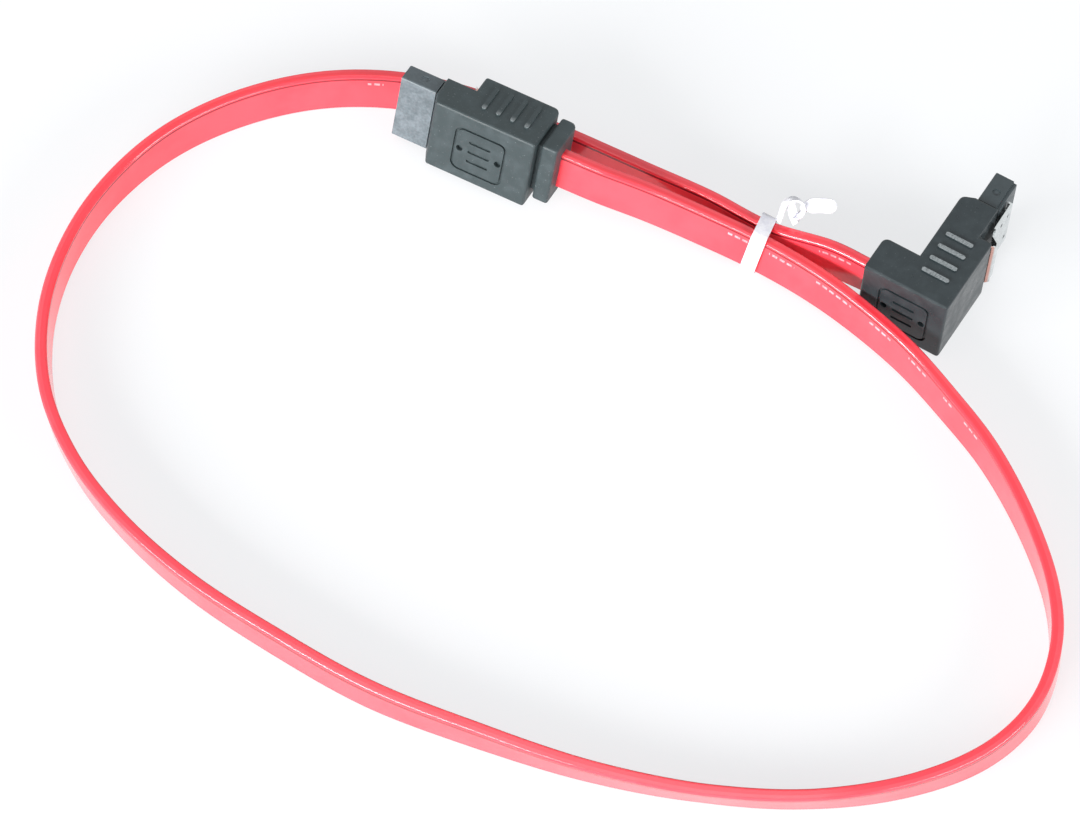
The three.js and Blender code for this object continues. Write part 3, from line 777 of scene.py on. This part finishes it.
def sweep(name: str, rings: Sequence[Ring], section: Sequence[Pair]) -> bpy.types.Object:
    """Models a closed piece through equal sections, with a UV map of metres along and around.

    Args:
        name: The piece's name.
        rings: The places of its sections.
        section: The section's points as across and up, in metres.

    Returns:
        The piece.
    """
    count = len(section)
    around = [0.0]
    for i in range(count):
        (ax, ay), (bx, by) = section[i], section[(i + 1) % count]
        around.append(around[-1] + math.hypot(bx - ax, by - ay))
    mesh = bpy.data.meshes.new(name)
    bm = bmesh.new()
    strip = bm.loops.layers.uv.new("strip")
    rows = [[bm.verts.new(r.place + r.across * a + r.up * b) for a, b in section] for r in rings]
    along = [0.0]
    for before, after in zip(rings, rings[1:]):
        along.append(along[-1] + (after.place - before.place).length)
    for i in range(len(rows) - 1):
        for k in range(count):
            nxt = (k + 1) % count
            face = bm.faces.new((rows[i][k], rows[i][nxt], rows[i + 1][nxt], rows[i + 1][k]))
            spots = (
                (along[i], around[k]), (along[i], around[k + 1]),
                (along[i + 1], around[k + 1]), (along[i + 1], around[k]),
            )
            for loop, spot in zip(face.loops, spots, strict=True):
                loop[strip].uv = spot
    bm.faces.new(rows[0][::-1])
    bm.faces.new(rows[-1])
    bmesh.ops.recalc_face_normals(bm, faces=bm.faces)
    bm.to_mesh(mesh)
    bm.free()
    piece = bpy.data.objects.new(name, mesh)
    bpy.context.scene.collection.objects.link(piece)
    return piece


@dataclass
class RibbonCable:
    """The flat cable: a ribbon on its edge, with round corners and a crease below its upper edge.

    Its upper corners are blunt about half way round, where they catch the light as one thin line.
    """

    width: float = 7.8 * MM
    thickness: float = 2.1 * MM
    head_corner: float = 0.32 * MM
    foot_corner: float = 0.25 * MM
    corner_steps: int = 11
    blunt: float = 3.2
    blunt_at: float = 41.0
    blunt_reach: float = 8.0
    margin: float = 0.05 * MM
    crease_at: float = 0.64 * MM
    crease_lip: float = 0.05 * MM
    crease_depth: float = 0.06 * MM
    crease_slope: float = 0.7 * MM
    outer_shade: float = 0.9 * MM
    inner_shade: float = 0.48 * MM
    face_inset: float = 0.03 * MM
    steps: int = 14
    length: float = 0.5404
    end_reach: float = 0.6 * MM
    smooth_below: float = 25.0

    def crease(self) -> Pair:
        """Gives the bottom of the outer face's crease, as across and up."""
        return (self.thickness / 2 - self.crease_depth, self.width / 2 - self.crease_at)

    def half_section(self) -> list[Pair]:
        """Gives the section's outer half from its foot to its head, as across and up."""
        side = self.thickness / 2
        inset = side - self.face_inset
        foot = self.round_corner(inset, self.foot_corner, 1.0)
        head = self.round_corner(side, self.head_corner, self.blunt)
        _, crease_up = self.crease()
        slope_end = crease_up - self.crease_slope
        face = [
            (inset, slope_end - self.margin),
            (inset, slope_end),
            self.crease(),
            (side, crease_up + self.crease_lip),
        ]
        return [(a, -b) for a, b in foot] + face + head[::-1]

    def round_corner(self, side: float, radius: float, blunt: float) -> list[Pair]:
        """Gives a corner from the edge's flat to the face's, with one more point on each flat.

        Args:
            side: How far across the face lies.
            radius: The corner's radius.
            blunt: How many times wider the radius is about half way round.

        Returns:
            The corner's points as across and up.
        """
        spots = [(-self.margin, 0.0), (0.0, 0.0)]
        step = math.pi / 2 / self.corner_steps
        for k in range(self.corner_steps):
            slope = step * (k + 0.5)
            in_blunt = abs(90 - math.degrees(slope) - self.blunt_at) < self.blunt_reach
            reach = radius * step * (blunt if in_blunt else 1.0)
            across, up = spots[-1]
            spots.append((across + reach * math.cos(slope), up - reach * math.sin(slope)))
        across, up = spots[-1]
        spots.append((across, up - self.margin))
        return [(side - across + a, self.width / 2 + b) for a, b in spots]

    def section(self) -> list[Pair]:
        """Gives the whole section, up its outer side and down its inner side."""
        outer = self.half_section()
        return outer + [(-a, b) for a, b in reversed(outer)]

    def rings(self) -> list[Ring]:
        """Gives the places of the sections, with both ends pushed into the plugs."""
        line = smooth_route(ROUTE, self.steps)
        points = [place for place, _ in line]
        rings = []
        for i, (place, turn) in enumerate(line):
            ahead = run_of(points, i)
            left = Vector((-ahead.y, ahead.x, 0.0)).normalized()
            up = ahead.cross(left)
            shift = self.end_reach * ((i == len(line) - 1) - (i == 0))
            rings.append(Ring(
                place + ahead * shift,
                left * math.cos(turn) - up * math.sin(turn),
                up * math.cos(turn) + left * math.sin(turn),
            ))
        return rings

    def build(self) -> bpy.types.Object:
        """Models the ribbon.

        Returns:
            The finished piece.
        """
        section = self.section()
        piece = sweep("ribbon_jacket", self.rings(), section)
        shade_by_angle(piece, self.smooth_below)
        jacket = RibbonJacket("red_jacket", self.head_middle(section), self.grooves(section))
        dress(piece, jacket.make())
        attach(piece, CABLE_BODY)
        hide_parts("ribbon_cable")
        log.info("ribbon: %d faces", len(piece.data.polygons))
        return piece

    @staticmethod
    def around_to(section: Sequence[Pair], index: int) -> float:
        """Gives how far round the section one of its points is, from its start."""
        return sum(math.dist(a, b) for a, b in zip(section[:index], section[1:index + 1]))

    def head_middle(self, section: Sequence[Pair]) -> float:
        """Gives how far round the section the middle of its head is."""
        return self.around_to(section, len(section) // 2)

    def grooves(self, section: Sequence[Pair]) -> tuple[Pair, Pair]:
        """Gives the two creases' shades, each as its middle round the section and its half width."""
        crease = section.index(self.crease())
        outer = self.outer_shade / 2
        inner = self.inner_shade / 2
        return (
            (self.around_to(section, crease) - outer, outer),
            (self.around_to(section, len(section) - 1 - crease) + inner, inner),
        )

    def declare(self) -> None:
        path = [place for place, _ in smooth_route(ROUTE, self.steps)]


@dataclass
class TwistTie:
    """The tie: a band round both stretches of the ribbon, a curl, a tucked stretch and a flat tail.

    The band slants: its foot and its upper edge at the back stand aside by the two skews.
    """

    width: float = 2.5 * MM
    band_width: float = 2.8 * MM
    foot_skew: float = 0.85 * MM
    back_skew: float = 1.05 * MM
    film: float = 0.4 * MM
    half_across: float = 3.4 * MM
    half_up: float = 4.75 * MM
    corner: float = 1.2 * MM
    corner_segments: int = 6
    rim: float = 0.12 * MM
    knot_at: Place = (2.42 * MM, 4.59 * MM, 0.0)
    knot_yaw: float = 36.9
    curl_centre: float = 6.9 * MM
    curl_radius: float = 2.0 * MM
    curl_turn: float = 285.0
    curl_steps: int = 32
    curl_lean: float = 28.0
    curl_shrink: float = 0.25
    curl_width: float = 0.92
    curl_rise: tuple[Pair, Pair] = ((-2.6 * MM, 4.7 * MM), (-2.35 * MM, 5.6 * MM))
    tuck_tilt: float = 62.0
    tail_tilt: float = 41.0
    tail_round: float = 1.2 * MM
    widen_steps: int = 3
    end_least: float = 0.04
    profile: tuple[Pair, ...] = ((1.0, 0.0), (0.93, 0.8), (0.45, 0.8), (0.2, 1.5))
    smooth_below: float = 40.0

    def build(self) -> bpy.types.Object:
        """Models the tie from its parts and joins them.

        Returns:
            The finished piece.
        """
        piece = join("tie_film", [self.band(), self.curl(), self.tuck(), self.tail()])
        piece.data.transform(TIE_FRAME.matrix())
        shade_by_angle(piece, self.smooth_below)
        dress(piece, TieFilm("white_film").make())
        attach(piece, CABLE_BODY)
        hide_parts("twist_tie")
        log.info("tie: %d faces", len(piece.data.polygons))
        return piece

    def band(self) -> bpy.types.Object:
        """Models the band: a box without two ends, its edges rounded, as thick as the film."""
        deselect()
        bpy.ops.mesh.primitive_cube_add(size=1, location=(0, 0, 0))
        band = bpy.context.active_object
        band.name = "tie_band"
        bpy.ops.object.mode_set(mode="EDIT")
        bpy.ops.transform.resize(value=(self.band_width, 2 * self.half_across, 2 * self.half_up))
        pick(band, MeshPart.EDGES, lambda edge: spans_band(edge) and edge.verts[0].co.z < 0)
        bpy.ops.transform.translate(value=(-self.foot_skew, 0, 0))
        pick(band, MeshPart.EDGES, lambda edge: spans_band(edge) and self.at_back(edge.verts[0].co))
        bpy.ops.transform.translate(value=(-self.back_skew, 0, 0))
        pick(band, MeshPart.FACES, lambda face: abs(face.normal.x) > ALONG_AXIS)
        bpy.ops.mesh.delete(type="ONLY_FACE")
        pick(band, MeshPart.EDGES, spans_band)
        bpy.ops.mesh.bevel(
            offset=self.corner, offset_type="OFFSET", segments=self.corner_segments, affect="EDGES",
        )
        bpy.ops.object.mode_set(mode="OBJECT")
        apply_modifier(band, "SOLIDIFY", {"thickness": self.film, "offset": -1})
        apply_modifier(band, "BEVEL", {"width": self.rim, "segments": 2, "limit_method": "ANGLE"})
        return band

    @staticmethod
    def at_back(point: Vector) -> bool:
        """Tells whether a corner of the band is its upper one at the back."""
        return point.y > 0 and point.z > 0

    def curl(self) -> bpy.types.Object:
        """Models the end that rises from the band and curls once round on itself."""
        line = list(self.curl_rise)
        for k in range(self.curl_steps + 1):
            share = k / self.curl_steps
            angle = math.radians(180 - self.curl_turn * share)
            radius = self.curl_radius * (1 - self.curl_shrink * share)
            line.append((radius * math.cos(angle), self.curl_centre + radius * math.sin(angle)))
        width = self.curl_width
        return self.strand("tie_curl", line, tilt=0.0, start=width, full=width, lean=self.curl_lean)

    def tuck(self) -> bpy.types.Object:
        """Models the stretch that comes down through the curl to the band."""
        line = [(x * MM, z * MM) for x, z in TUCK]
        return self.strand("tie_tuck", line, self.tuck_tilt, start=0.6, full=0.75, lean=self.curl_lean)

    def tail(self) -> bpy.types.Object:
        """Models the flat tail, pinched where it leaves the curl and round at its end."""
        line = [(x * MM, z * MM) for x, z in TAIL]
        end = self.tail_round
        return self.strand("tie_tail", line, self.tail_tilt, start=0.35, full=1.05, round_end=end)

    def strand(
        self,
        name: str,
        line: Sequence[Pair],
        tilt: float,
        start: float,
        full: float,
        round_end: float = 0.0,
        lean: float = 0.0,
    ) -> bpy.types.Object:
        """Models a flat strand of the tie in the knot's upright plane.

        Args:
            name: The strand's name.
            line: Its points as along and up, in metres.
            tilt: How far its width tips about its run, in degrees.
            start: Its width at its start, as a share of the tie's.
            full: Its width once it has widened, as a share of the tie's.
            round_end: How long the rounding of its end is, in metres, or 0 for a square end.
            lean: How far it leans back about the curl's middle, in degrees.

        Returns:
            The strand.
        """
        knot = Matrix.Translation(self.knot_at) @ Matrix.Rotation(math.radians(self.knot_yaw), 4, "Z")
        middle = Matrix.Translation((0.0, 0.0, self.curl_centre))
        knot = knot @ middle @ Matrix.Rotation(math.radians(-lean), 4, "X") @ middle.inverted()
        points = [Vector((x, 0.0, z)) for x, z in line]
        level = Vector((0.0, 1.0, 0.0))
        turn = knot.to_3x3()
        tip = math.radians(tilt)
        rings = []
        for i, place in enumerate(points):
            ahead = run_of(points, i)
            wide = level * math.cos(tip) + ahead.cross(level) * math.sin(tip)
            share = start + (full - start) * min(i / self.widen_steps, 1.0)
            left = (points[-1] - place).length
            if left < round_end:
                share *= math.sqrt(max(1 - (1 - left / round_end) ** 2, self.end_least))
            rings.append(Ring(knot @ place, turn @ wide * share, turn @ ahead.cross(wide)))
        return sweep(name, rings, self.strand_section())

    def strand_section(self) -> list[Pair]:
        """Gives a strand's section: the film's thickness, swollen over the wire in its middle."""
        half = self.width / 2
        thin = self.film / 2
        upper = [(-half * across, thin * up) for across, up in self.profile]
        upper += [(-a, b) for a, b in reversed(upper[1:])]
        return upper + [(-a, -b) for a, b in upper]


@dataclass
class Plugs:
    """The two plugs' solids, which keep their shapes and get their finishes."""

    nodes: dict[str, bpy.types.Object]

    def dress_plug(
        self,
        plug: str,
        vinyl: bpy.types.Material,
        resin: bpy.types.Material,
        steel: bpy.types.Material,
    ) -> None:
        """Dresses one plug's mouldings and latch.

        Args:
            plug: The start of its nodes' names.
            vinyl: The finish of its body.
            resin: The finish of its receptacle.
            steel: The finish of its latch.
        """
        for part, material in (("overmould", vinyl), ("receptacle", resin), ("latch", steel)):
            node = self.nodes[f"{plug}_{part}"]
            dress(node, material)
            log.info("dressed %s", node.name)

    def dress_wires(self) -> None:
        """Dresses the contacts and the wires of both plugs."""
        gold = PlatedMetal("gold_contact", srgb(226, 186, 104), srgb(196, 150, 74), 0.26).make()
        tin = PlatedMetal("tinned_wire", srgb(196, 198, 200), srgb(150, 152, 154), 0.36).make()
        skin = WireSkin("wire_skin").make()
        for name, node in self.nodes.items():
            if "_contact_" in name:
                dress(node, gold)
            elif "_drain_wire_" in name:
                dress(node, tin)
            elif "_signal_wire_" in name:
                dress(node, skin)

    def build(self) -> None:
        """Dresses both plugs."""
        self.dress_plug(
            "straight",
            MouldedVinyl("straight_vinyl", STRAIGHT_FRAME).make(),
            HardResin("straight_resin", STRAIGHT_FRAME).make(),
            SpringSheet("straight_steel", STRAIGHT_FRAME, lip_from=3.6 * MM).make(),
        )
        self.dress_plug(
            "angled",
            MouldedVinyl(
                "angled_vinyl",
                ANGLED_FRAME,
                base=srgb(38, 46, 49),
                worn=srgb(50, 58, 61),
                roughness=0.34,
                # Where the painted highlight on the rib tops fades out
                highlight_from=9.0 * MM,
                highlight_to=12.0 * MM,
                speck_strength=0.12,
            ).make(),
            HardResin(
                "angled_resin", ANGLED_FRAME, base=srgb(44, 52, 55), bloom=srgb(66, 75, 79),
            ).make(),
            SpringSheet("angled_steel", ANGLED_FRAME, lip_from=4.9 * MM).make(),
        )
        self.dress_wires()


@dataclass(frozen=True)
class SoftLamp:
    """A flat white lamp, in metres and watts."""

    name: str
    place: Place
    width: float
    height: float
    watts: float


LAMPS = (
    SoftLamp("left_softbox", place=(-1.2, -1.4, 0.7), width=1.7, height=0.6, watts=78.0),
    SoftLamp("right_softbox", place=(1.5, -0.95, 0.65), width=1.6, height=0.6, watts=32.0),
    SoftLamp("high_fill", place=(-0.3, -0.3, 1.7), width=1.2, height=1.2, watts=6.0),
)


@dataclass
class PhotoStudio:
    """The camera of the photograph, the table and the soft lights."""

    elevation: float = 57.0
    roll: float = 6.26
    focal_px: float = 6001.0
    image_width: int = 1080
    sensor: float = 36.0
    distance: float = 1.0277
    target: Place = (-0.023404, -0.041327, 0.0)
    nearest: float = 0.05
    farthest: float = 20.0
    table_size: float = 4.0
    table_drop: float = 0.05 * MM
    lamps_aim: Place = (-0.02, -0.04, 0.0)
    world_light: Colour = (0.93, 0.96, 1.0, 1.0)
    world_strength: float = 0.22
    world_seen: Colour = (0.98, 0.99, 1.0, 1.0)

    def camera(self) -> None:
        """Makes the camera, matched to the photograph on both plugs."""
        pitch = math.radians(self.elevation)
        roll = math.radians(self.roll)
        ahead = Vector((0.0, math.cos(pitch), -math.sin(pitch)))
        level = Vector((1.0, 0.0, 0.0))
        upright = level.cross(ahead)
        right = level * math.cos(roll) + upright * math.sin(roll)
        up = upright * math.cos(roll) - level * math.sin(roll)
        turn = Matrix((right, up, -ahead)).transposed().to_4x4()
        data = bpy.data.cameras.new("photo_camera")
        data.sensor_width = self.sensor
        data.lens = self.focal_px / self.image_width * self.sensor
        data.clip_start = self.nearest
        data.clip_end = self.farthest
        camera = bpy.data.objects.new("photo_camera", data)
        camera.matrix_world = Matrix.Translation(Vector(self.target) - ahead * self.distance) @ turn
        bpy.context.scene.collection.objects.link(camera)
        bpy.context.scene.camera = camera

    def table(self) -> None:
        """Makes the table."""
        deselect()
        bpy.ops.mesh.primitive_plane_add(size=self.table_size, location=(0, 0, -self.table_drop))
        table = bpy.context.active_object
        table.name = "table"
        dress(table, TableTop().make())

    def light(self, lamp: SoftLamp) -> None:
        """Makes a lamp that faces the part."""
        data = bpy.data.lights.new(lamp.name, "AREA")
        data.shape = "RECTANGLE"
        data.size = lamp.width
        data.size_y = lamp.height
        data.energy = lamp.watts
        light = bpy.data.objects.new(lamp.name, data)
        aim = Vector(self.lamps_aim) - Vector(lamp.place)
        turn = aim.to_track_quat("-Z", "Y").to_matrix().to_4x4()
        light.matrix_world = Matrix.Translation(lamp.place) @ turn
        bpy.context.scene.collection.objects.link(light)

    def world(self) -> None:
        """Makes the world: white where it is seen, and a soft grey light on the part."""
        w = Wiring(bpy.data.worlds.new("studio"))
        light = w.add(
            "ShaderNodeBackground", None, {"Color": self.world_light, "Strength": self.world_strength},
        )
        white = w.add("ShaderNodeBackground", None, {"Color": self.world_seen, "Strength": 1.0})
        mixed = w.add("ShaderNodeMixShader", None, {"Fac": seen_directly(w), 1: light, 2: white})
        bpy.context.scene.world = w.end(mixed, "ShaderNodeOutputWorld")

    def build(self) -> None:
        """Sets up the table, the lamps, the world and the view's colours."""
        self.table()
        for lamp in LAMPS:
            self.light(lamp)
        self.world()
        bpy.context.scene.view_settings.view_transform = "Standard"


def deselect() -> None:
    """Deselects every object."""
    for chosen in list(bpy.context.selected_objects):
        chosen.select_set(False)


def spans_band(edge: bmesh.types.BMEdge) -> bool:
    """Tells whether an edge of the band runs along its width."""
    return abs((edge.verts[1].co - edge.verts[0].co).normalized().x) > ALONG_AXIS


def pick(
    piece: bpy.types.Object,
    part: MeshPart,
    wanted: Callable[[bmesh.types.BMEdge | bmesh.types.BMFace], bool],
) -> None:
    """Selects only the edges or faces of the mesh in edit mode that a test wants.

    Args:
        piece: The object in edit mode.
        part: What is selected.
        wanted: The test of one edge or face.
    """
    bpy.ops.mesh.select_mode(type=part.value)
    bpy.ops.mesh.select_all(action="DESELECT")
    bm = bmesh.from_edit_mesh(piece.data)
    elements = bm.edges if part is MeshPart.EDGES else bm.faces
    for element in elements:
        element.select_set(wanted(element))
    bmesh.update_edit_mesh(piece.data)


def apply_modifier(piece: bpy.types.Object, kind: str, settings: dict[str, object]) -> None:
    """Adds a modifier and applies it.

    Args:
        piece: The piece.
        kind: The modifier's type.
        settings: Its settings.
    """
    deselect()
    piece.select_set(True)
    bpy.context.view_layer.objects.active = piece
    modifier = piece.modifiers.new(kind.lower(), kind)
    for name, value in settings.items():
        setattr(modifier, name, value)
    bpy.ops.object.modifier_apply(modifier=modifier.name)


def shade_by_angle(piece: bpy.types.Object, degrees: float) -> None:
    """Shades a piece smooth except at edges sharper than an angle."""
    deselect()
    piece.select_set(True)
    bpy.context.view_layer.objects.active = piece
    bpy.ops.object.shade_smooth_by_angle(angle=math.radians(degrees))


def join(name: str, pieces: Iterable[bpy.types.Object]) -> bpy.types.Object:
    """Joins pieces into one object.

    Args:
        name: The new piece's name.
        pieces: What is joined.

    Returns:
        The joined piece.
    """
    deselect()
    chosen = list(pieces)
    for piece in chosen:
        piece.select_set(True)
    bpy.context.view_layer.objects.active = chosen[0]
    bpy.ops.object.join()
    joined = bpy.context.active_object
    joined.name = name
    joined.data.name = name
    return joined


def dress(piece: bpy.types.Object, material: bpy.types.Material) -> None:
    """Gives a piece one material."""
    if piece.material_slots:
        for held in piece.material_slots:
            held.material = material
    else:
        piece.data.materials.append(material)


def main() -> None:
    """Builds the scene."""
    logging.basicConfig(level=logging.INFO, format="%(name)s: %(message)s")
    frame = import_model()
    studio = PhotoStudio()
    studio.camera()
    cable = RibbonCable()
    ribbon = cable.build()
    tie = TwistTie().build()
    cable.declare()
    Plugs(frame["nodes"]).build()
    studio.build()


if __name__ == "__main__":
    main()
